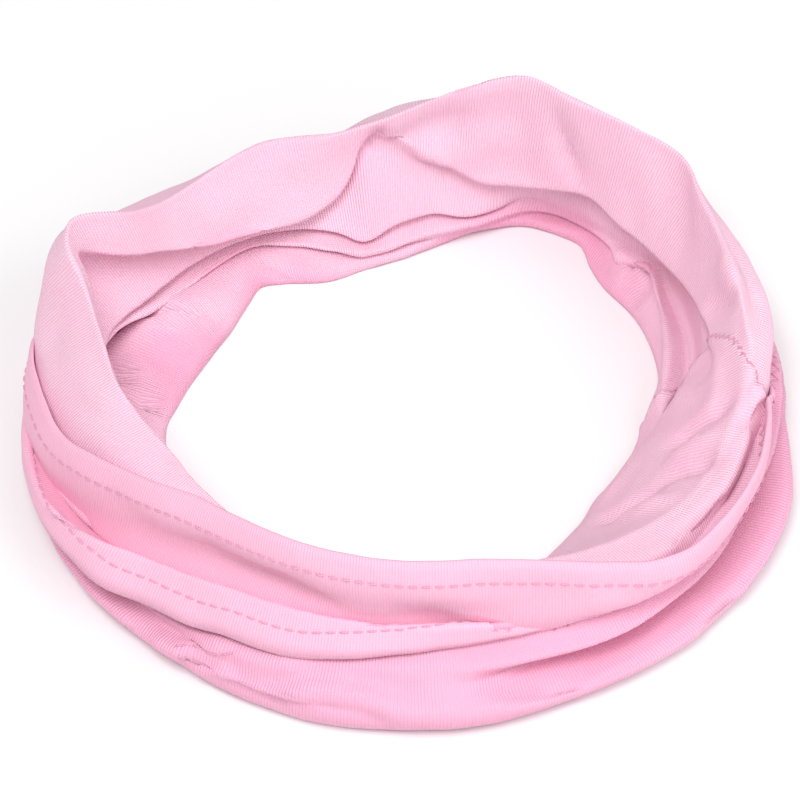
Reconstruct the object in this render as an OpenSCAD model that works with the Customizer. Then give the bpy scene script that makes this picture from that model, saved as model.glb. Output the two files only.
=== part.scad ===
// Sports headband: one strip of stretch jersey, hemmed along both long edges
// and joined into a loop by one seam across it, lying on a table in soft folds.
// Millimetres, +Z up, standing on z = 0, centre of the loop on the Z axis.

/* [Loop as it lies] */
// Across the outside of the loop
outer_diameter = 171; // [160:1:190]
// Across the opening that the head goes through
opening_diameter = 112; // [104:1:118]
// Top of the highest fold above the table
lying_height = 46; // [40:1:52]
// Straight part of the wall around the opening
opening_wall = 14; // [10:1:16]

/* [Cloth] */
// One layer of jersey
cloth_thickness = 0.9; // [0.6:0.1:1.1]
// Cloth turned under at each long edge
hem_depth = 6; // [4:0.5:8]

/* [Stitching] */
// Sewing thread
thread_diameter = 0.4; // [0.3:0.05:0.5]
// Where the seam across the strip lies, counter-clockwise from +X in degrees
seam_angle = 4; // [0:1:359]
// Width of the seam's thread along the loop
seam_line_width = 0.6; // [0.4:0.1:1.5]
// Middle of the short extra row on the outer folds, in degrees
short_row_angle = 242; // [0:1:359]
// Length of the short extra row
short_row_length = 26; // [10:1:60]

/* [Colours] */
// Light pink jersey
cloth_colour = [0.96, 0.70, 0.83]; // each value 0 to 1
// Matching thread, a little darker
thread_colour = [0.93, 0.60, 0.76]; // each value 0 to 1

/* [Hidden] */
outer_r = outer_diameter / 2;
opening_r = opening_diameter / 2;
half = cloth_thickness / 2;
steps = 4;

// The way the strip runs across the ring of folds, from the upper hem to the
// lower hem. Each pair is the share of the way from the opening to the outside
// and the share of the height.
fold_path = [
    [0.50, 1.00],
    [0.43, 0.78],
    [0.405, 0.55],
    [0.395, 0.38],
    [0.365, 0.29],
    [0.315, 0.29],
    [0.27, 0.38],
    [0.23, 0.50],
    [0.16, 0.60],
    [0.08, 0.58],
    [0.00, 0.45],
    [0.00, 0.45 - opening_wall / (lying_height - half)],
    [0.015, 0.065],
    [0.06, 0.018],
    [0.14, 0.00],
    [0.22, 0.00],
    [0.76, 0.00],
    [0.83, 0.00],
    [0.90, 0.025],
    [0.935, 0.10],
    [0.915, 0.25],
    [0.83, 0.40],
    [0.74, 0.52],
    [0.72, 0.59],
    [0.77, 0.62],
    [0.85, 0.56],
    [0.93, 0.44],
    [0.98, 0.32],
    [1.00, 0.25]
];

span = outer_r - opening_r - cloth_thickness - half;
function place(p) = [opening_r + half + p[0] * span, half + p[1] * (lying_height - half)];

// Smooth curve through the fold path, straight on the opening wall and the table
function knot(i) = place(fold_path[max(0, min(len(fold_path) - 1, i))]);
function blend(a, b, c, d, t) =
    0.5 * (2 * b + (c - a) * t + (2 * a - 5 * b + 4 * c - d) * t * t
    + (3 * b - a - 3 * c + d) * t * t * t);
wall_start = 10;
floor_start = 14;
floor_stop = 16;
function settle(p) = [p[0], max(half, p[1])];
function straight(i) = i == wall_start || (i >= floor_start && i <= floor_stop);
function curve_point(i, t) = straight(i)
    ? knot(i) + (knot(i + 1) - knot(i)) * t
    : settle(blend(knot(i - 1), knot(i), knot(i + 1), knot(i + 2), t));
centre_line = [
    for (i = [0 : len(fold_path) - 2])
        for (k = [0 : steps - 1])
            curve_point(i, k / steps),
    knot(len(fold_path) - 1)
];
last = len(centre_line) - 1;

function along(i) = i == 0 ? 0 : along(i - 1) + norm(centre_line[i] - centre_line[i - 1]);
path_length = along(last);
// About 150 mm from hem to hem at the sizes above

function on_wall(i) = i >= wall_start * steps && i <= (wall_start + 1) * steps;
function direction(i) =
    let (a = centre_line[max(0, i - 1)], b = centre_line[min(last, i + 1)])
    on_wall(i) ? [0, -1] : (b - a) / norm(b - a);
function side(i) = [direction(i)[1], -direction(i)[0]];

// The hems are two layers thick
function half_at(i) = min(along(i), path_length - along(i)) <= hem_depth
    ? cloth_thickness * 0.9 : half;
function face(i, s, lift = 0) = centre_line[i] + side(i) * s * (half_at(i) + lift);

function nearest(target, i = 0) = along(i) >= target || i == last ? i : nearest(target, i + 1);
upper_row = nearest(hem_depth);
lower_row = nearest(path_length - hem_depth) - 1;
short_row = nearest(path_length * 0.715);
seam_end = 2;
inner_crest = 8 * steps;
floor_edge = floor_start * steps - 2;

module ring_at(p) {
    rotate_extrude($fn = 96)
        translate(p)
            circle(d = thread_diameter, $fn = 16);
}

// Jersey strip, hemmed and folded
module band_panel() {
    color(cloth_colour)
        rotate_extrude($fn = 96)
            polygon([
                for (i = [0 : last]) face(i, 1),
                for (i = [last : -1 : 0]) face(i, -1)
            ]);
}

// Needle thread on the face of each hem
module upper_hem_needle_thread() {
    color(thread_colour) ring_at(face(upper_row, -1, thread_diameter / 2));
}

module lower_hem_needle_thread() {
    color(thread_colour) ring_at(face(lower_row, -1, thread_diameter / 2));
}

// Looper thread on the back of each hem
module upper_hem_looper_thread() {
    color(thread_colour) ring_at(face(upper_row, 1, thread_diameter / 2));
}

module lower_hem_looper_thread() {
    color(thread_colour) ring_at(face(lower_row, 1, thread_diameter / 2));
}

// Thread of the seam across the strip, as a thin line on one face of the cloth
module seam_line(s, first, stop, thick) {
    width = seam_line_width / outer_r * 180 / PI;
    rotate([0, 0, seam_angle - width / 2])
        rotate_extrude(angle = width, $fn = 96)
            polygon([
                for (i = [first : stop]) face(i, s),
                for (i = [stop : -1 : first]) face(i, s, thick)
            ]);
}

module seam_needle_thread() {
    color(thread_colour) seam_line(-1, upper_row + seam_end, lower_row - seam_end, thread_diameter / 2);
}

// Overlock thread on the back, down the wall around the opening
module seam_overlock_thread() {
    color(thread_colour) seam_line(1, inner_crest, floor_edge, thread_diameter / 2);
}

// Short extra row of stitches low on the outer folds
module short_row_thread() {
    sweep = short_row_length / outer_r * 180 / PI;
    color(thread_colour)
        rotate([0, 0, short_row_angle - sweep / 2])
            rotate_extrude(angle = sweep, $fn = 96)
                translate(face(short_row, 1, thread_diameter / 2))
                    circle(d = thread_diameter, $fn = 16);
}

band_panel();
upper_hem_needle_thread();
upper_hem_looper_thread();
lower_hem_needle_thread();
lower_hem_looper_thread();
seam_needle_thread();
seam_overlock_thread();
short_row_thread();
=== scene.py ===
import math

import bpy
import numpy as np
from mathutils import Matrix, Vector, noise


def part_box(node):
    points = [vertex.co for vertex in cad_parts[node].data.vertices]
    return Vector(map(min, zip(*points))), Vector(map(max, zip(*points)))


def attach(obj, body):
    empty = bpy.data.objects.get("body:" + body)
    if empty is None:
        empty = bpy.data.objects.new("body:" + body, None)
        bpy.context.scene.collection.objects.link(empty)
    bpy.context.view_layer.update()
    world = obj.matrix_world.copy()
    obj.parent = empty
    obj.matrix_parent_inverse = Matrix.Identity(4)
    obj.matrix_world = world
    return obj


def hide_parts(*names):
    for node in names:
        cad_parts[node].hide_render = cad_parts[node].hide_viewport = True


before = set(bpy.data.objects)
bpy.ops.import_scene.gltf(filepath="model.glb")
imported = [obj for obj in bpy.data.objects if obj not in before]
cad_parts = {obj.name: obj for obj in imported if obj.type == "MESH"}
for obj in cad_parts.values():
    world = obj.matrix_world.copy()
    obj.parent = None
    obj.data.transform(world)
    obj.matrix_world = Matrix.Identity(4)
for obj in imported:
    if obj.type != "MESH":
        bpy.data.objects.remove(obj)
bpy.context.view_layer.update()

# A wide jersey headband that lies in a loop on a table, in soft folds. Its cloth is one strip, folded
# on itself: every cut across the loop crosses the fold lines below, in this order, from hem to hem.
MM = 0.001

# The ring that the CAD band fills: its outer radius and its height.
low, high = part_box("band_panel")
RING = (high[0] - low[0]) / 2
TALL = high[2] - low[2]

STRIP_LENGTH = 480 * MM     # once round the loop, laid flat
CLOTH = 0.7 * MM            # one layer of jersey
HEM_CLOTH = 1.2 * MM        # the hem, where the jersey is turned under
HEM_DEPTH = 6 * MM          # the needle row's distance from the hem's edge
THREAD = 0.42 * MM          # sewing thread
FLOOR_GAP = 0.05 * MM       # the least height of the cloth above the table
PER_DEGREE = STRIP_LENGTH / 360     # length of the strip in one degree of the loop

ANGLES = 376                # cuts round the loop
ROW_STEP = 1.35 * MM        # about one row of the mesh across the strip
LEAST_GAP = 0.05 * MM       # two points of a section closer than this count as this far apart
BLUR = 1.2                  # how far the fold lines are evened out round the loop, in cuts
LIP = 1.5 * MM              # how close to a sharp fold the cloth begins to turn
LIP_SHARE = 0.3             # the most of the way to the next fold that this may be
LIP_PLACE = 0.15            # how far from the fold's own place the rows of a lip are counted
SHARP_FOLDS = (3, 5, 6, 8, 10, 17, 19)      # places in the order of fold_points, from 0

# Fold lines. Each key is (angle round the loop in degrees, anticlockwise from +X,
# distance from the middle in percent of RING, height in percent of TALL).
UPPER_HEM = [
    (0, 94, 42), (3, 94, 36), (10, 95, 31), (22, 97, 31), (40, 99, 32), (60, 98, 32), (90, 97, 33),
    (150, 97, 34), (164, 98, 38), (170, 98, 46), (176, 97, 53), (182, 95, 56), (188, 93, 58),
    (195, 91, 60), (206, 85, 69), (217, 80, 77), (228, 76, 83), (241, 77, 88), (253, 79, 91),
    (280, 81, 91), (293, 85, 87), (303, 89, 78), (311, 93, 70), (320, 95, 65), (333, 95, 64),
    (346, 94, 62), (353, 94, 59), (357, 94, 52)]
CUFF = [
    (1, 94, 33), (10, 95, 25), (30, 100, 24), (90, 98, 24), (150, 98, 25), (168, 99, 33),
    (178, 99, 40), (190, 96, 45), (203, 89, 55), (219, 82, 65), (236, 79, 73), (253, 81, 74),
    (270, 82, 72), (290, 85, 69), (302, 91, 59), (316, 96, 55), (345, 95, 54), (353, 94, 50),
    (357, 94, 42)]
CUFF_DIP = [
    (1, 93, 31), (10, 94, 22), (30, 99, 20), (90, 98, 21), (150, 98, 21), (180, 99, 25),
    (193, 96, 32), (203, 91, 39), (214, 85, 45), (225, 79, 50), (235, 76, 53), (246, 76, 55),
    (254, 78, 56), (263, 80, 55), (274, 79, 54), (282, 82, 52), (290, 86, 50), (296, 88, 49),
    (302, 90, 47), (308, 92, 46), (314, 94, 47), (320, 95, 48), (335, 95, 49), (348, 94, 48),
    (354, 93, 44)]
CUFF_TUCK = [
    (0, 92, 35), (10, 93, 22), (20, 97, 17), (60, 97, 18), (90, 95, 19), (150, 97, 18),
    (180, 98, 20), (190, 97, 22), (200, 92.7, 26), (208, 90, 29), (214, 88.3, 31), (221, 86.2, 34),
    (232, 84.2, 39), (241, 82.8, 43), (251, 82.3, 44), (262, 81.7, 44), (270, 81.6, 42),
    (276, 81.5, 39), (283, 82, 38), (292, 85, 38), (298, 87, 41), (303, 88, 43), (309, 89, 44),
    (320, 89, 44), (335, 89, 44), (348, 90, 43), (355, 92, 40)]
OUTER_WALL = [
    (0, 93, 58), (14, 96, 62), (30, 97, 60), (60, 98, 65), (75, 96, 65), (90, 93, 58),
    (105, 90, 47), (120, 93, 45), (135, 93, 47), (150, 96, 58), (158, 99, 71), (168, 98, 60),
    (177, 95, 54), (183, 92, 58), (190, 88, 60), (200, 83, 62), (214, 76, 61), (227, 72, 57),
    (241, 74, 52), (269, 76, 50), (293, 78, 50), (310, 84, 52), (320, 88, 53), (334, 89, 55),
    (346, 89, 57), (353, 91, 62)]
CREST = [
    (0, 88, 68), (5, 87, 73), (12, 87, 78), (31, 90, 84), (39, 94, 88), (50, 90, 94), (60, 87, 99),
    (68, 89, 101), (78, 85, 95), (86, 82, 86), (95, 81, 75), (104, 81, 69), (119, 85, 68),
    (131, 84, 66), (143, 83, 72), (150, 84, 82), (157, 89, 94), (161, 92, 99), (166, 90, 96),
    (170, 85, 91), (177, 80, 86), (184, 77, 82), (192, 75, 78), (202, 71, 71), (214, 68, 66),
    (227, 68, 62), (241, 70, 57), (269, 71, 54), (295, 71, 53), (315, 77, 51), (330, 82, 52),
    (342, 84, 55), (352, 86, 61)]
FLAP = [
    (0, 80, 56), (11, 80, 50), (22, 81, 47), (33, 81, 44), (45, 81, 44), (54, 83, 47), (61, 81, 45),
    (70, 79, 42), (76, 77, 44), (82, 78, 52), (90, 79, 60), (98, 81, 63), (101, 78, 47),
    (106, 74, 36), (115, 72, 32), (131, 73, 36), (141, 75, 47), (148, 78, 56), (156, 83, 68),
    (160, 88, 78), (164, 89, 88), (168, 84, 85), (175, 79, 76), (184, 76, 69), (202, 70, 58),
    (214, 67, 54), (240, 67, 47), (269, 68, 43), (300, 68, 41), (320, 71, 39), (335, 75, 41),
    (350, 78, 49)]
LEDGE = [
    (0, 71, 29), (6, 74, 30), (13, 80, 32), (22, 84, 33), (33, 87, 32), (40, 89, 27), (48, 88, 22),
    (54, 89, 20), (61, 89, 22), (69, 86, 25), (72, 82, 20), (77, 76, 20), (85, 73, 24),
    (92, 70, 23), (100, 67, 16), (105, 71, 18), (114, 76, 20), (128, 79, 21), (149, 80, 25),
    (162, 83, 29), (170, 82, 32), (180, 79, 33), (190, 74, 34), (202, 69, 30), (227, 64, 26),
    (269, 64, 23), (300, 63, 22), (320, 61, 19), (335, 62, 19), (350, 67, 26)]
ROLL = [
    (0, 66, 15), (6, 67, 19), (13, 70, 22), (22, 74, 23), (33, 80, 22), (40, 85, 18), (47, 86, 12),
    (54, 89, 11), (61, 90, 11), (67, 87, 13), (75, 77, 14), (82, 72, 15), (88, 69, 13),
    (95, 66, 11), (100, 65, 11), (105, 67, 11), (115, 74, 12), (124, 78, 14), (138, 77, 15),
    (147, 78, 17), (151, 79, 19), (156, 81, 22), (160, 83, 24), (166, 84, 24), (172, 81, 21),
    (180, 76, 19), (190, 69, 19), (205, 64, 15), (227, 62, 13), (269, 63, 12), (300, 59, 11),
    (320, 56, 10), (335, 56, 10), (350, 61, 13)]
SHELF = [
    (0, 62, 6), (22, 74, 7), (45, 80, 5), (57, 88, 5), (67, 87, 5), (75, 79, 6), (82, 74, 6),
    (92, 67, 5), (100, 65, 5), (110, 66, 6), (121, 71, 8), (130, 73, 11), (140, 71, 15),
    (147, 73, 18), (152, 77, 16), (156, 80, 11), (160, 82, 6), (165, 81, 6), (170, 77, 6),
    (178, 71, 8), (190, 66, 9), (205, 62, 7), (227, 61, 6), (269, 62, 5), (300, 56, 5),
    (320, 54, 5), (335, 54, 5), (350, 59, 5)]
INNER_FOOT = [
    (0, 62, 1), (6, 63, 1), (11, 66, 1), (16, 70, 1), (26, 74, 1), (37, 77, 1), (45, 78, 1),
    (52, 82, 1), (57, 88, 1), (65, 88, 1), (73, 84, 1), (82, 75, 1), (92, 68, 1), (100, 65, 1),
    (109, 63, 1), (121, 68, 1), (125, 70, 1), (130, 67, 1), (142, 62, 1), (154, 61, 1),
    (166, 62, 1), (177, 64, 1), (190, 63, 1), (227, 61, 1), (269, 61, 1), (300, 56, 1),
    (319, 53, 1), (337, 53, 1), (345, 56, 1)]
OUTER_FOOT = [
    (0, 93, 1), (30, 95, 1), (90, 89, 1), (150, 93, 1), (200, 93, 1), (230, 91, 1), (256, 93, 1),
    (275, 93, 1), (298, 92, 1), (320, 95, 1), (345, 96, 1)]
BELLY = [
    (0, 99, 17), (13, 101, 16), (30, 102, 15), (60, 98, 13), (90, 95, 13), (120, 95, 13),
    (150, 98, 12), (180, 98, 12), (200, 98, 11), (213, 97, 12), (226, 96, 15), (240, 96, 18),
    (256, 97, 20), (272, 97, 20), (285, 97, 18), (298, 97, 15), (310, 98, 14), (322, 100, 15),
    (340, 102, 17)]
LOW_DIP = [
    (0, 90, 20), (20, 95, 16), (60, 93, 15), (90, 91, 15), (150, 95, 14), (180, 96, 15),
    (200, 94, 14), (213, 92, 14), (224, 90, 16), (234, 91, 19), (247, 92, 24), (258, 92, 27),
    (269, 92, 28), (278, 91, 26), (285, 87, 21), (292, 84, 17), (301, 83, 14), (310, 83, 13),
    (321, 84, 13), (335, 84, 15), (348, 87, 18)]
RIDGE = [
    (0, 97, 31), (12, 99, 26), (30, 99, 22), (60, 96, 20), (90, 94, 19), (120, 94, 19),
    (150, 97, 18), (180, 98, 20), (200, 95, 20), (213, 92, 19), (224, 90, 19), (231, 90, 22),
    (238, 90, 26), (245, 89, 29), (257, 88, 33), (270, 88, 34), (280, 89, 32), (293, 90, 31),
    (301, 92, 31), (308, 93, 31), (316, 93, 31), (337, 93, 31), (346, 94, 31), (354, 96, 31)]
OVERLAP = [
    (0, 90, 34), (8, 94, 30), (17, 96, 27), (30, 98, 26), (60, 95, 25), (90, 93, 24), (150, 96, 23),
    (180, 99, 26), (192, 99, 31), (200, 99, 36), (207, 97, 41), (214, 94, 45), (223, 88, 48),
    (232, 85, 50), (242, 83, 52), (251, 83, 53), (261, 83, 53), (269, 83, 52), (277, 83, 51),
    (286, 84, 49), (292, 84, 46), (302, 83, 42), (309, 83, 39), (318, 83, 37), (345, 84, 36)]
LOWER_HEM = [
    (0, 94, 34), (8, 97, 29), (17, 98, 18), (60, 95, 16), (90, 93, 15), (150, 97, 14),
    (180, 100, 16), (192, 100, 20), (204, 100, 26), (211, 99, 29), (218, 98, 30), (226, 93, 30),
    (235, 91, 31), (241, 90, 34), (249, 90, 34), (260, 88, 37), (269, 86, 39), (277, 85, 39),
    (286, 85, 40), (295, 86, 40), (302, 88, 40), (309, 90, 41), (320, 91, 41), (345, 92, 39)]

# How far the cloth turns back behind a fold line: (angle, percent of RING outward, percent of TALL up).
BEHIND_FLAP = [
    (0, -2, -13), (9, 4, -2), (16, 9, 2), (22, 10, 3), (45, 11, 3), (54, 9, 0), (66, 6, -8),
    (76, 4, -10), (90, 2, -9), (98, 2, -6), (101, 5, -2), (106, 9, 5), (115, 13, 8), (131, 14, 7),
    (141, 14, 3), (148, 13, 0), (156, 12, -6), (163, 8, -22), (172, 6, -30), (180, 5, -24),
    (192, 2, -17), (214, 0, -13), (269, -1, -11), (320, -5, -10), (350, -5, -11)]
BEHIND_LEDGE = [
    (0, -4, -11), (8, -3, -15), (22, -3, -19), (33, -2, -18), (42, 0, -9), (61, 1, -6), (77, 3, -5),
    (95, 4, -4), (114, 6, -4), (149, 7, -5), (170, 4, -8), (190, -2, -8), (227, -1, -6),
    (269, -1, -5), (320, -3, -5)]
BEHIND_ROLL = [
    (0, -2, -5), (22, 0, -8), (40, 1, -7), (50, 1, -4), (67, 2, -5), (82, 2, -6), (100, 3, -4),
    (124, 6, -5), (145, 9, -6), (150, 11, -11), (156, 11, -18), (162, 9, -19), (168, 8, -16),
    (178, 1, -9), (190, -2, -6), (227, -1, -4), (300, -1, -3)]
BEHIND_RIDGE = [
    (0, -3, 1), (90, -2, 2), (180, -3, 3), (200, -4, 3), (213, -6, 2), (228, -7, 1), (238, -6, 3),
    (257, -6, 5), (285, -6, 5), (301, -5, 6), (335, -5, 6)]


def around(keys, angles):
    """Smooth periodic values at the angles, through the keys and never beyond them."""
    known = np.array([key[0] for key in keys], float)
    value = np.array([key[1:] for key in keys], float)
    known = np.concatenate([known[-3:] - 360, known, known[:3] + 360])
    value = np.concatenate([value[-3:], value, value[:3]])
    gap = np.diff(known)[:, None]
    rise = np.diff(value, axis=0) / gap
    before = 2 * gap[1:] + gap[:-1]
    after = gap[1:] + 2 * gap[:-1]
    same_way = rise[:-1] * rise[1:] > 0
    safe = np.where(same_way, rise[:-1], 1)
    safe_next = np.where(same_way, rise[1:], 1)
    slope = np.zeros_like(value)
    slope[1:-1] = np.where(same_way, (before + after) / (before / safe + after / safe_next), 0)
    span = np.clip(np.searchsorted(known, angles, side="right") - 1, 0, len(known) - 2)
    t = ((angles - known[span]) / gap[span, 0])[:, None]
    start, end = value[span], value[span + 1]
    curve = start * (1 + 2 * t) * (1 - t) ** 2 + end * t * t * (3 - 2 * t)
    return curve + gap[span] * (slope[span] * t * (1 - t) ** 2 + slope[span + 1] * t * t * (t - 1))


def soften(values, spread):
    """Periodic blur along the first axis, spread in steps."""
    reach = int(3 * spread) + 1
    weights = np.exp(-0.5 * (np.arange(-reach, reach + 1) / spread) ** 2)
    weights /= weights.sum()
    return sum(w * np.roll(values, k - reach, axis=0) for k, w in enumerate(weights))


def fold_points(angles):
    """Every fold line's (distance, height) in metres at each angle: an array of angles x lines x 2."""
    scale = np.array([RING, TALL]) / 100
    flap, ledge, roll, ridge = (around(keys, angles) for keys in (FLAP, LEDGE, ROLL, RIDGE))
    lines = [
        around(UPPER_HEM, angles), around(CUFF, angles), around(CUFF_DIP, angles),
        around(CUFF_TUCK, angles), around(OUTER_WALL, angles), around(CREST, angles),
        flap, flap + around(BEHIND_FLAP, angles), ledge, ledge + around(BEHIND_LEDGE, angles),
        roll, roll + around(BEHIND_ROLL, angles), around(SHELF, angles), around(INNER_FOOT, angles),
        around(OUTER_FOOT, angles), around(BELLY, angles), around(LOW_DIP, angles),
        ridge, ridge + around(BEHIND_RIDGE, angles), around(OVERLAP, angles),
        around(LOWER_HEM, angles)]
    points = np.stack(lines, axis=1) * scale
    return soften(points, BLUR)


def through(a, b, c, d, t):
    """Point at t between b and c on the rounded curve through a, b, c and d (centripetal)."""
    def knot(p, q):
        return np.maximum(np.linalg.norm(q - p, axis=-1, keepdims=True), LEAST_GAP) ** 0.5

    t0 = 0
    t1 = t0 + knot(a, b)
    t2 = t1 + knot(b, c)
    t3 = t2 + knot(c, d)
    s = t1 + (t2 - t1) * t
    ab = (a * (t1 - s) + b * (s - t0)) / (t1 - t0)
    bc = (b * (t2 - s) + c * (s - t1)) / (t2 - t1)
    cd = (c * (t3 - s) + d * (s - t2)) / (t3 - t2)
    abc = (ab * (t2 - s) + bc * (s - t0)) / (t2 - t0)
    bcd = (bc * (t3 - s) + cd * (s - t1)) / (t3 - t1)
    return (abc * (t2 - s) + bcd * (s - t1)) / (t2 - t1)


def with_lips(points):
    """The fold points, with one more close to each side of every sharp fold, and all their places."""
    knots, where = [], []
    count = points.shape[1]
    for k in range(count):
        fold = points[:, k]
        for side in (-1, 0, 1):
            if side == 0:
                knots.append(fold)
            elif k in SHARP_FOLDS:
                run = points[:, k + side] - fold
                length = np.linalg.norm(run, axis=-1, keepdims=True)
                knots.append(fold + run * np.minimum(LIP / np.maximum(length, LIP), LIP_SHARE))
            else:
                continue
            where.append(k + LIP_PLACE * side)
    return np.stack(knots, axis=1), where


def cross_sections(points):
    """The cloth's middle line at each angle, and each row's place among the fold lines."""
    points, where = with_lips(points)
    first = 2 * points[:, :1] - points[:, 1:2]
    last = 2 * points[:, -1:] - points[:, -2:-1]
    padded = np.concatenate([first, points, last], axis=1)
    rows, places = [], []
    for k in range(len(where) - 1):
        a, b, c, d = (padded[:, k + j] for j in range(4))
        length = np.linalg.norm(c - b, axis=-1).mean()
        steps = max(2, round(length / ROW_STEP))
        for i in range(steps):
            rows.append(through(a, b, c, d, i / steps))
            places.append(where[k] + (where[k + 1] - where[k]) * i / steps)
    rows.append(points[:, -1])
    places.append(where[-1])
    return np.stack(rows, axis=1), np.array(places)


angles = np.arange(ANGLES) * 360 / ANGLES
section, place = cross_sections(fold_points(angles))
turn = np.radians(angles)[:, None]
far_out, up = section[..., 0], section[..., 1]
middle = np.stack([far_out * np.cos(turn), far_out * np.sin(turn), up], axis=-1)


def along_section(cloth):
    """Distance from the upper hem to every row, at each angle."""
    steps = np.linalg.norm(np.diff(cloth, axis=1), axis=-1)
    return np.concatenate([np.zeros((len(cloth), 1)), np.cumsum(steps, axis=1)], axis=1)


def face_normals(cloth):
    """Unit normals of the cloth's right side, which shows on the cuff and on the lower hem."""
    along = np.roll(cloth, -1, axis=0) - np.roll(cloth, 1, axis=0)
    across = np.gradient(cloth, axis=1)
    normal = np.cross(across, along)
    return normal / np.maximum(np.linalg.norm(normal, axis=-1, keepdims=True), 1e-12)


# Soft creases and puckers pressed into the cloth: (angle, fold line, angle, fold line) of the two ends,
# half width and height in millimetres. A height above 0 stands out on the side that shows the hem
# rows; below 0 it stands out on the other side, which shows inside the loop.
CREASES = [
    (150, 5.2, 113, 6.0, 3, 0.7), (94, 5.2, 99, 7.0, 2.5, 2.0), (100, 6.1, 76, 5.4, 3.5, 2.4),
    (86, 5.8, 65, 5.4, 3.2, 2.4), (79, 5.9, 61, 5.95, 1.5, 0.9), (64, 5.3, 54, 5.9, 2.2, 2.4),
    (40, 5.1, 26, 5.8, 3.5, 1.4), (27, 4.8, 2, 4.7, 2.5, 1.6), (16, 6.0, 9, 5.1, 2.5, 1.6),
    (90, 6.6, 80, 5.9, 2.5, -1.2), (123, 5.2, 104, 5.5, 4, -0.8), (47, 5.2, 36, 5.9, 3.5, -1.2),
    (20, 5.3, 10, 5.2, 2.5, -1.2), (354, 3.6, 344, 4.6, 2.2, 1.8), (351, 4.8, 347, 8.0, 2.5, 2.2),
    (345, 4.6, 341, 7.6, 3.0, -1.7), (338, 4.4, 337, 7.4, 2.6, 2.2), (337, 6.8, 321, 8.8, 3.0, 2.2),
    (330, 5.2, 322, 7.5, 3.5, -1.6), (356, 5.6, 5, 9.0, 3.0, -1.2), (333, 3.6, 317, 4.0, 2.2, 2.0),
    (224, 2.0, 268, 2.0, 2, -0.9), (207, 0.8, 222, 1.8, 4, -0.6), (202, 19.2, 212, 19.0, 1.2, -0.8),
    (231, 15.2, 243, 16.7, 2.4, -1.3), (239, 16.4, 256, 17.0, 2.0, -1.2),
    (233, 14.75, 241.5, 15.15, 2.0, 2.2), (222, 15.0, 230, 15.2, 1.6, 1.3),
    (239, 15.2, 256, 15.8, 2.0, 1.8), (246, 15.2, 270, 15.5, 2.2, -1.2),
    (237, 14.5, 258, 15.0, 2.1, 2.0), (252, 15.0, 270, 14.6, 2.1, 1.8),
    (258, 15.9, 276, 15.6, 2.6, 1.2), (279, 15.85, 301, 15.2, 2.0, 1.8),
    (316, 15.0, 327, 14.8, 2.2, 1.2), (161, 11.9, 174, 12.8, 1.8, 3.2),
    (158, 12.1, 171, 13.0, 2, -1.6), (172, 12.6, 138, 12.8, 1.6, 2.0),
    (125, 11.8, 117, 12.9, 1.5, 1.2), (44, 8.5, 36, 12.5, 2.5, 2.0), (49, 8.6, 42, 12.4, 2.2, -1.8),
    (170, 4.3, 203, 4.3, 4, 0.8), (149, 11.5, 162, 11.6, 2.2, 4.5), (35, 3.2, 72, 4.7, 4, -1.5),
    (70, 3.4, 48, 4.6, 3.5, 1.4), (112, 3.2, 82, 4.5, 4, -1.4), (98, 3.4, 122, 4.6, 4, 1.3),
    (124, 3.3, 156, 4.6, 4, -1.5), (158, 3.2, 140, 4.2, 3.5, 1.2), (50, 14.5, 100, 15.2, 3, 1.3),
    (110, 15.2, 160, 14.6, 3, 1.3), (6, 15.3, 40, 14.8, 2.5, 1.5), (186, 4.5, 214, 4.6, 3, -0.6)]


def smooth_step(x):
    """Eased step from 0 to 1 while x goes from 0 to 1."""
    x = np.clip(x, 0, 1)
    return x * x * (3 - 2 * x)


CREASE_END = 0.35           # the share of a crease in which each of its ends fades out


def angle_from(angle, other):
    """Signed turn from one angle to the other, between -180 and 180."""
    return (angle - other + 180) % 360 - 180


def distance_to_line(line, angle):
    """Distance from the upper hem at which the cloth crosses a fold line, at one angle."""
    spot = (angle % 360) / 360 * ANGLES
    first = int(spot)
    near, far = (np.interp(line, place, from_hem[column % ANGLES]) for column in (first, first + 1))
    return float(near + (far - near) * (spot - first))


def crease(start_angle, start_line, end_angle, end_line, half_width, height):
    """Height of one crease over the whole cloth."""
    start = distance_to_line(start_line, start_angle)
    end = distance_to_line(end_line, end_angle)
    run = np.array([angle_from(end_angle, start_angle) * PER_DEGREE, end - start])
    length = np.hypot(*run)
    along = angle_from(angles, start_angle)[:, None] * PER_DEGREE
    across = from_hem - start
    share = (along * run[0] + across * run[1]) / length ** 2
    off = (along * run[1] - across * run[0]) / length
    ends = smooth_step(share / CREASE_END) * smooth_step((1 - share) / CREASE_END)
    return height * MM * np.exp(-(off / (half_width * MM)) ** 2) * ends


def drift(size_along, size_across, seed):
    """Smooth random heights between -1 and 1 over the cloth, the same in every run."""
    heights = np.zeros_like(from_hem)
    for i, angle in enumerate(np.radians(angles)):
        ring = STRIP_LENGTH / (2 * math.pi) / size_along
        x, y = ring * math.cos(angle), ring * math.sin(angle)
        for j, reach in enumerate(from_hem[i]):
            heights[i, j] = noise.noise(Vector((x, y + seed, reach / size_across + seed)))
    return heights


# The seam runs slantwise over the folds: (fold line, angle) from the upper hem to the table. The cloth
# on its front side laps over the other, and stands proud of it by SEAM_STEP.
SEAM_PATH = [
    (0, -7), (4, -7), (4.6, -6), (5, -3), (5.5, 4), (6, 9), (7, 11), (8, 10), (10, 7), (13, 4)]
SEAM_STEP = 1.2 * MM
SEAM_EDGE = 1.5 * MM        # how wide the lapped edge's step is
SEAM_FADE = 9 * MM          # how far from the edge the lap sinks back into the cloth


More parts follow.
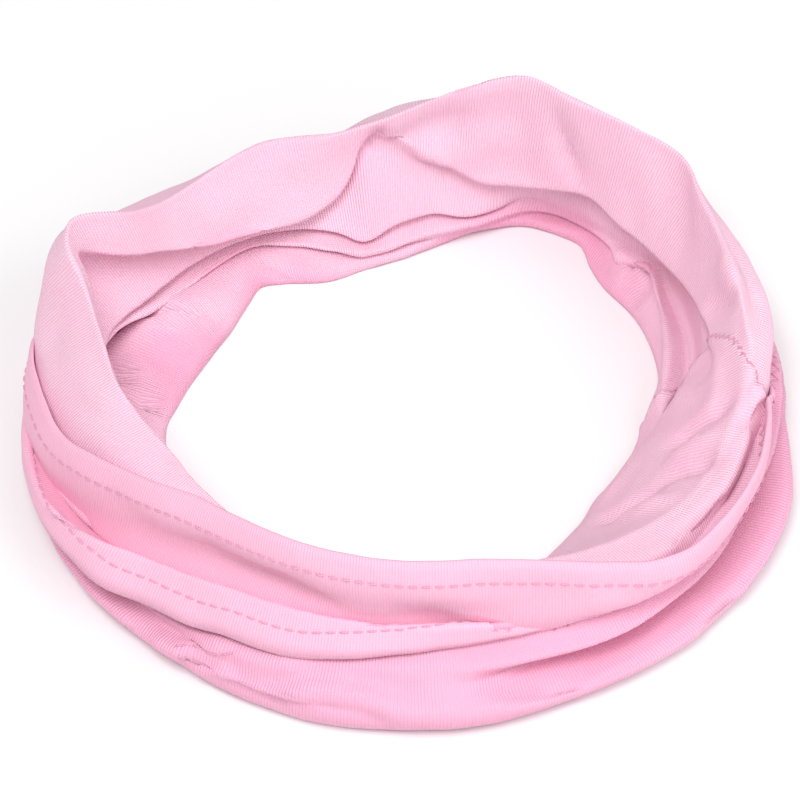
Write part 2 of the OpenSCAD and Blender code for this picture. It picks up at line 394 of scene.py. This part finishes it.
def seam_lap():
    """Height of the seam's lapped edge, on the side that shows inside the loop."""
    lines, turns = zip(*SEAM_PATH)
    off = angle_from(angles[:, None], np.interp(place, lines, turns)) * PER_DEGREE
    near = smooth_step(0.5 - off / SEAM_EDGE) * np.exp(np.minimum(off, 0) / SEAM_FADE)
    return SEAM_STEP * near * (place <= lines[-1])


# Unevenness of the cloth: (height, size along the strip, size across it) in millimetres, and a seed.
SLOW_DRIFT = (0.55, 22, 9, 3.7)
FINE_DRIFT = (0.22, 7, 5, 11.3)
FLAT_BELOW = 1.8 * MM       # near the table the relief fades out, because the cloth lies flat on it

from_hem = along_section(middle)
relief = sum(crease(*c) for c in CREASES)
relief -= seam_lap()
for drift_height, size_along, size_across, seed in (SLOW_DRIFT, FINE_DRIFT):
    relief += drift_height * MM * drift(size_along * MM, size_across * MM, seed)
free = smooth_step(middle[..., 2] / FLAT_BELOW)
middle = middle + face_normals(middle) * (relief * free)[..., None]

from_hem = along_section(middle)
width = from_hem[:, -1:]
to_hem = width - from_hem
edge = np.minimum(from_hem, to_hem)
normal = face_normals(middle)

# The cloth is thicker in the hems, and thins out round at their very edges.
HEM_STEP = 1.2 * MM         # how wide the step from the hem to the single cloth is
EDGE_ROUND = 0.9 * MM       # how far in from the edge the rounding reaches
EDGE_SHARE = 0.45           # what is left of the thickness at the edge itself
thick = CLOTH + (HEM_CLOTH - CLOTH) * (1 - smooth_step((edge - HEM_DEPTH) / HEM_STEP))
thick = thick * (EDGE_SHARE + (1 - EDGE_SHARE) * np.sqrt(np.clip(edge / EDGE_ROUND, 0, 1)))
right = middle + normal * thick[..., None] / 2
wrong = middle - normal * thick[..., None] / 2
for skin in (right, wrong):
    skin[..., 2] = np.maximum(skin[..., 2], FLOOR_GAP)


def make_mesh(name, points, faces, material_of_face=None, materials=(), uv=None):
    """A smooth mesh object in the scene."""
    mesh = bpy.data.meshes.new(name)
    mesh.from_pydata([tuple(p) for p in points], [], faces)
    for material in materials:
        mesh.materials.append(material)
    if material_of_face is not None:
        mesh.polygons.foreach_set("material_index", material_of_face)
    if uv is not None:
        layer = mesh.uv_layers.new(name="cloth")
        layer.data.foreach_set("uv", np.asarray(uv, float).ravel())
    mesh.polygons.foreach_set("use_smooth", [True] * len(faces))
    mesh.validate()
    piece = bpy.data.objects.new(name, mesh)
    bpy.context.scene.collection.objects.link(piece)
    return piece


def new_material(name):
    """A new material, with its nodes, its links and its shader."""
    material = bpy.data.materials.new(name)
    material.use_nodes = True
    tree = material.node_tree
    return material, tree.nodes, tree.links, tree.nodes["Principled BSDF"]


WALES = 700                 # lines of the knit round the loop
COURSES = 260               # lines of the knit across the strip
COURSE_SHARE = 0.25         # height of a course, as a share of a wale's
KNIT_TONE = 0.13            # how much the wales, the clouds and the fuzz each change the tone
CLOUD_TONE = 0.35
FUZZ_TONE = 0.25
FUZZ_HEIGHT = 1.2           # height of the fuzz, as a share of a wale's
FUZZ_ROUGHNESS = 0.15
# Where two changes of tone, both painted shade, lie across the strip: (start, end) as shares of its
# width.
# painted shade: from this span on, the wrong side is darker towards the lower hem, on the belly
LOWER_SHADE_FROM = (0.66, 0.74)
# painted shade in the fold under the cuff lies between these two spans
FOLD_SHADE_BEGINS = (0.13, 0.21)
FOLD_SHADE_ENDS = (0.24, 0.32)


def jersey(name, light, deep, rib_depth, sheen, roughness, lower_shade=0.0, fold_shade=0.0):
    """Knitted jersey. Fine wales run across the strip, with small stitches along each wale.

    The colour is painted darker towards the lower hem, as painted shade on the belly, and where
    the cloth is folded back below the upper hem, as painted shade in the fold under the cuff.
    """
    material, nodes, links, shader = new_material(name)
    uv = nodes.new("ShaderNodeUVMap")
    uv.uv_map = "cloth"
    split = nodes.new("ShaderNodeSeparateXYZ")
    links.new(uv.outputs["UV"], split.inputs[0])

    def math_node(kind, a, b=None, c=None):
        node = nodes.new("ShaderNodeMath")
        node.operation = kind
        for slot_index, value in enumerate((a, b, c)):
            if value is None:
                continue
            if isinstance(value, (int, float)):
                node.inputs[slot_index].default_value = value
            else:
                links.new(value, node.inputs[slot_index])
        return node.outputs[0]

    def wave(source, count):
        return math_node("SINE", math_node("MULTIPLY", source, 2 * math.pi * count))

    def cloudiness(scale, detail):
        """A noise through the cloth, from about -0.5 to 0.5."""
        noise_node = nodes.new("ShaderNodeTexNoise")
        noise_node.inputs["Scale"].default_value = scale
        noise_node.inputs["Detail"].default_value = detail
        links.new(coords.outputs["Object"], noise_node.inputs["Vector"])
        return math_node("SUBTRACT", noise_node.outputs["Fac"], 0.5)

    def change_at(span):
        """0 before a span across the strip and 1 after it."""
        change = nodes.new("ShaderNodeMapRange")
        change.interpolation_type = "SMOOTHSTEP"
        change.inputs["From Min"].default_value = span[0]
        change.inputs["From Max"].default_value = span[1]
        links.new(split.outputs[1], change.inputs["Value"])
        return change.outputs["Result"]

    coords = nodes.new("ShaderNodeTexCoord")
    cloud = cloudiness(scale=45, detail=3)
    fuzz = cloudiness(scale=1400, detail=2)
    wales = wave(split.outputs[0], WALES)
    courses = wave(split.outputs[1], COURSES)
    knit = math_node("MULTIPLY_ADD", courses, COURSE_SHARE, wales)

    tone = math_node("MULTIPLY_ADD", knit, KNIT_TONE, 0.5)
    tone = math_node("MULTIPLY_ADD", cloud, CLOUD_TONE, tone)
    tone = math_node("MULTIPLY_ADD", fuzz, FUZZ_TONE, tone)
    # painted shade towards the lower hem, darkening the belly
    tone = math_node("MULTIPLY_ADD", change_at(LOWER_SHADE_FROM), -lower_shade, tone)
    # painted shade in the fold under the cuff, where the cuff's shadow falls
    in_fold_shade = math_node("SUBTRACT", change_at(FOLD_SHADE_BEGINS), change_at(FOLD_SHADE_ENDS))
    tone = math_node("MULTIPLY_ADD", in_fold_shade, -fold_shade, tone)
    ramp = nodes.new("ShaderNodeValToRGB")
    ramp.color_ramp.elements[0].position = 0.1
    ramp.color_ramp.elements[0].color = (*deep, 1)
    ramp.color_ramp.elements[1].position = 0.9
    ramp.color_ramp.elements[1].color = (*light, 1)
    links.new(tone, ramp.inputs[0])
    links.new(ramp.outputs[0], shader.inputs["Base Color"])

    height = math_node("MULTIPLY_ADD", fuzz, FUZZ_HEIGHT, knit)
    bump = nodes.new("ShaderNodeBump")
    bump.inputs["Strength"].default_value = 1
    bump.inputs["Distance"].default_value = rib_depth
    links.new(height, bump.inputs["Height"])
    links.new(bump.outputs[0], shader.inputs["Normal"])
    rough = math_node("MULTIPLY_ADD", fuzz, FUZZ_ROUGHNESS, roughness)
    links.new(rough, shader.inputs["Roughness"])
    shader.inputs["Sheen Weight"].default_value = sheen
    shader.inputs["Sheen Roughness"].default_value = 0.45
    shader.inputs["Sheen Tint"].default_value = (1, 0.8, 0.9, 1)
    shader.inputs["Specular IOR Level"].default_value = 0.3
    return material


def thread_finish(name, colour):
    """Twisted sewing thread, in fine slanting plies along each stitch."""
    material, nodes, links, shader = new_material(name)
    coords = nodes.new("ShaderNodeTexCoord")
    ply = nodes.new("ShaderNodeTexWave")
    ply.bands_direction = "DIAGONAL"
    ply.inputs["Scale"].default_value = 900
    ply.inputs["Distortion"].default_value = 1.5
    links.new(coords.outputs["Object"], ply.inputs["Vector"])
    ramp = nodes.new("ShaderNodeValToRGB")
    ramp.color_ramp.elements[0].color = (*[c * 0.8 for c in colour], 1)
    ramp.color_ramp.elements[1].color = (*colour, 1)
    links.new(ply.outputs["Fac"], ramp.inputs[0])
    links.new(ramp.outputs[0], shader.inputs["Base Color"])
    bump = nodes.new("ShaderNodeBump")
    bump.inputs["Distance"].default_value = 0.05 * MM
    links.new(ply.outputs["Fac"], bump.inputs["Height"])
    links.new(bump.outputs[0], shader.inputs["Normal"])
    shader.inputs["Roughness"].default_value = 0.55
    shader.inputs["Sheen Weight"].default_value = 0.2
    return material


LIGHT_PINK = (0.97, 0.70, 0.82)
DEEP_PINK = (0.88, 0.42, 0.59)
RIGHT_LIGHT = (0.93, 0.53, 0.69)
RIGHT_DEEP = (0.86, 0.41, 0.56)
THREAD_PINK = (0.79, 0.36, 0.52)
# the right side carries painted shade in the fold under the cuff
right_side = jersey(
    "jersey_right_side", RIGHT_LIGHT, RIGHT_DEEP, rib_depth=0.05 * MM, sheen=0.10,
    roughness=0.775, fold_shade=0.4)
# the wrong side carries painted shade towards the lower hem, on the belly
wrong_side = jersey(
    "jersey_wrong_side", LIGHT_PINK, DEEP_PINK, rib_depth=0.08 * MM, sheen=0.15,
    roughness=0.625, lower_shade=0.55)
thread_material = thread_finish("pink_thread", THREAD_PINK)


def band():
    """The cloth as one closed mesh: its right side, its wrong side and the two hem edges."""
    turns, rows = middle.shape[:2]
    across = from_hem / width
    points = np.concatenate([right.reshape(-1, 3), wrong.reshape(-1, 3)])
    faces, looks, uv = [], [], []

    def corner(side, i, j):
        return side * turns * rows + (i % turns) * rows + j

    def on_strip(i, j):
        return (i / turns, across[i % turns, j])

    for i in range(turns):
        for j in range(rows - 1):
            quad = [(i, j), (i, j + 1), (i + 1, j + 1), (i + 1, j)]
            faces.append([corner(0, a, b) for a, b in quad])
            uv.extend(on_strip(a, b) for a, b in quad)
            faces.append([corner(1, a, b) for a, b in reversed(quad)])
            uv.extend(on_strip(a, b) for a, b in reversed(quad))
            looks.extend((0, 1))
        for j, way in ((0, -1), (rows - 1, 1)):
            rim = [(0, i, j), (1, i, j), (1, i + 1, j), (0, i + 1, j)][::way]
            faces.append([corner(*c) for c in rim])
            uv.extend(on_strip(a, b) for _, a, b in rim)
            looks.append(0)
    return make_mesh("jersey_band", points, faces, looks, (right_side, wrong_side), uv)


cloth = band()
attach(cloth, "root")
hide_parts("band_panel")


def surface_at(side, angle, distance):
    """Point and outward normal on one side of the cloth, at an angle and a distance in from a hem.

    The side is 1 for the right side and -1 for the wrong side. The distance is from the upper hem's
    edge where it is above 0, and otherwise from the lower hem's.
    """
    spot = (angle % 360) / 360 * ANGLES
    i = int(spot) % ANGLES
    share = spot - int(spot)
    result = []
    for column in (i, (i + 1) % ANGLES):
        reach = from_hem[column]
        far = distance if distance >= 0 else reach[-1] + distance
        skin = right[column] if side > 0 else wrong[column]
        point = np.array([np.interp(far, reach, skin[:, k]) for k in range(3)])
        out = np.array([np.interp(far, reach, normal[column][:, k]) for k in range(3)]) * side
        result.append((point, out))
    point = result[0][0] * (1 - share) + result[1][0] * share
    out = result[0][1] * (1 - share) + result[1][1] * share
    return point, out / np.linalg.norm(out)


TIP = 0.55                  # radius of a stitch's two tips, as a share of the thread's


def tube(path, radius, sides=6):
    """Points and faces of a closed round-ended tube along a short path."""
    path = np.asarray(path)
    tangent = np.gradient(path, axis=0)
    tangent /= np.linalg.norm(tangent, axis=1, keepdims=True)
    up = np.array([0.0, 0.0, 1.0])
    points, faces = [], []
    for k, (centre, direction) in enumerate(zip(path, tangent)):
        side = np.cross(direction, up)
        side /= max(np.linalg.norm(side), 1e-9)
        over = np.cross(side, direction)
        size = radius * (TIP if k in (0, len(path) - 1) else 1)
        for s in range(sides):
            a = 2 * math.pi * s / sides
            points.append(centre + size * (math.cos(a) * side + math.sin(a) * over))
    for k in range(len(path) - 1):
        for s in range(sides):
            a, b = k * sides + s, k * sides + (s + 1) % sides
            faces.append((a, b, b + sides, a + sides))
    faces.append(tuple(reversed(range(sides))))
    faces.append(tuple(range((len(path) - 1) * sides, len(path) * sides)))
    return points, faces


def thread_piece(name, node, stitches):
    """One thread: all its visible stitches, each a short tube laid on the cloth."""
    points, faces = [], []
    for path in stitches:
        new_points, new_faces = tube(path, THREAD / 2)
        base = len(points)
        points.extend(new_points)
        faces.extend(tuple(v + base for v in face) for face in new_faces)
    piece = make_mesh(name, points, faces, materials=(thread_material,))
    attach(piece, "root")
    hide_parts(node)
    return piece


STITCH = 3.0 * MM           # one stitch of a row, along the hem
DASH_SHARE = 0.74           # how much of each stitch shows as a dash
SUNK = 0.25                 # how much of the thread's radius lies below the cloth's surface
LOOPER_SWING = 0.9 * MM     # how far the zigzag of a hem's looper thread goes to each side
OVERLOCK_SWING = 0.45 * MM  # how far that of the seam's overlock thread does
SEAM_SAMPLES = 40           # points at which the seam's path is measured, from one fold line to the next


def degrees_for(length):
    """Turn round the loop that takes up a length of the strip."""
    return length / STRIP_LENGTH * 360


STITCHES_ROUND = round(360 / degrees_for(STITCH))


def needle_row(distance):
    """Dashes of a straight needle row at one distance from a hem, on the right side."""
    step = 360 / STITCHES_ROUND
    for k in range(STITCHES_ROUND):
        stitch = []
        for t, lift in ((0, -0.6), (0.2, 0.7), (0.5, 1 - SUNK), (0.8, 0.7), (1, -0.6)):
            point, out = surface_at(1, (k + t * DASH_SHARE) * step, distance)
            stitch.append(point + out * THREAD / 2 * lift)
        yield stitch


def looper_row(distance):
    """Zigzag of the looper thread that covers a hem's cut edge, on the wrong side."""
    step = 360 / STITCHES_ROUND
    for k in range(STITCHES_ROUND):
        stitch = []
        for t, side in ((0, -1), (0.25, 0), (0.5, 1), (0.75, 0), (1, -1)):
            point, out = surface_at(-1, (k + t) * step, distance + side * LOOPER_SWING)
            stitch.append(point + out * THREAD / 2 * (1 - SUNK))
        yield stitch


threads = [
    thread_piece("upper_hem_needle_stitches", "upper_hem_needle_thread", needle_row(HEM_DEPTH)),
    thread_piece("lower_hem_needle_stitches", "lower_hem_needle_thread", needle_row(-HEM_DEPTH)),
    thread_piece("upper_hem_looper_stitches", "upper_hem_looper_thread", looper_row(HEM_DEPTH)),
    thread_piece("lower_hem_looper_stitches", "lower_hem_looper_thread", looper_row(-HEM_DEPTH)),
]


def seam_rows(side, sway):
    """Stitches of the seam across the strip, from the upper hem down to the table."""
    lines, turns = zip(*SEAM_PATH)
    steps = np.linspace(lines[0], lines[-1], SEAM_SAMPLES * lines[-1])
    turn_at = np.interp(steps, lines, turns)
    reach = np.array([distance_to_line(line, angle) for line, angle in zip(steps, turn_at)])
    run = np.hypot(np.diff(reach), np.diff(turn_at) / degrees_for(1))
    run = np.concatenate([[0], np.cumsum(run)])
    count = int(run[-1] / STITCH)
    for k in range(count):
        stitch = []
        for t in (0, 0.25, 0.5, 0.75, 1):
            here = (k + t * DASH_SHARE) * run[-1] / count
            angle = float(np.interp(here, run, turn_at))
            swing = degrees_for(sway * math.sin(2 * math.pi * t))
            point, out = surface_at(side, angle + swing, float(np.interp(here, run, reach)))
            stitch.append(point + out * THREAD / 2 * (1 - SUNK))
        yield stitch


threads.append(thread_piece("seam_needle_stitches", "seam_needle_thread", seam_rows(1, 0)))
threads.append(thread_piece(
    "seam_overlock_stitches", "seam_overlock_thread", seam_rows(-1, OVERLOCK_SWING)))

SHORT_ROW = ((233, 15.3), (243, 16.9))      # its two ends, as (angle, fold line)


def short_row():
    """The short row of stitches on the ridge above the belly, seen from the wrong side."""
    (start, first), (end, last) = SHORT_ROW
    count = round((end - start) / degrees_for(STITCH))
    for k in range(count):
        stitch = []
        for t in (0, 0.25, 0.5, 0.75, 1):
            share = (k + t * DASH_SHARE) / count
            angle = start + (end - start) * share
            line = first + (last - first) * share
            point, out = surface_at(-1, angle, distance_to_line(line, angle))
            stitch.append(point + out * THREAD / 2 * (1 - SUNK))
        yield stitch


threads.append(thread_piece("short_row_stitches", "short_row_thread", short_row()))

TABLE_REACH = 3.0           # how far the table goes from the middle, in metres
TABLE_GREYS = (0.83, 0.86)


def floor():
    """The pale table top that the band lies on."""
    mesh = bpy.data.meshes.new("table")
    corners = [(-1, -1), (1, -1), (1, 1), (-1, 1)]
    points = [(x * TABLE_REACH, y * TABLE_REACH, 0) for x, y in corners]
    mesh.from_pydata(points, [], [(0, 1, 2, 3)])
    table = bpy.data.objects.new("table", mesh)
    bpy.context.scene.collection.objects.link(table)
    material, nodes, links, shader = new_material("pale_table")
    cloud = nodes.new("ShaderNodeTexNoise")
    cloud.inputs["Scale"].default_value = 3
    ramp = nodes.new("ShaderNodeValToRGB")
    for element, grey in zip(ramp.color_ramp.elements, TABLE_GREYS):
        element.color = (grey, grey, grey, 1)
    links.new(cloud.outputs["Fac"], ramp.inputs[0])
    links.new(ramp.outputs[0], shader.inputs["Base Color"])
    shader.inputs["Roughness"].default_value = 0.9
    shader.inputs["Specular IOR Level"].default_value = 0.1
    mesh.materials.append(material)


floor()

# Camera: straight from the front, looking down on the loop.
CAMERA_HEIGHT = math.radians(48)
CAMERA_DISTANCE = 0.8
LENS = 158.4
SENSOR = 36
look_at = Vector((-1.6 * MM, 13.4 * MM, 0))
camera_data = bpy.data.cameras.new("camera")
camera_data.lens = LENS
camera_data.sensor_width = SENSOR
camera = bpy.data.objects.new("camera", camera_data)
bpy.context.scene.collection.objects.link(camera)
away = Vector((0, -math.cos(CAMERA_HEIGHT), math.sin(CAMERA_HEIGHT)))
camera.location = look_at + away * CAMERA_DISTANCE
camera.rotation_euler = (-away).to_track_quat("-Z", "Y").to_euler()
bpy.context.scene.camera = camera


def soft_light(name, place_at, size, power):
    """A large square light that faces the middle of the band."""
    data = bpy.data.lights.new(name, "AREA")
    data.size = size
    data.energy = power
    light = bpy.data.objects.new(name, data)
    bpy.context.scene.collection.objects.link(light)
    light.location = place_at
    light.rotation_euler = (-Vector(place_at)).to_track_quat("-Z", "Y").to_euler()


soft_light("key_light", (-0.2, -0.6, 1.25), size=0.6, power=14)
soft_light("fill_light", (0.85, -0.5, 0.8), size=1.0, power=7)
world = bpy.data.worlds.new("studio")
world.use_nodes = True
background = world.node_tree.nodes["Background"]
background.inputs["Color"].default_value = (1, 1, 1, 1)
background.inputs["Strength"].default_value = 0.48
bpy.context.scene.world = world
bpy.context.scene.view_settings.view_transform = "Standard"
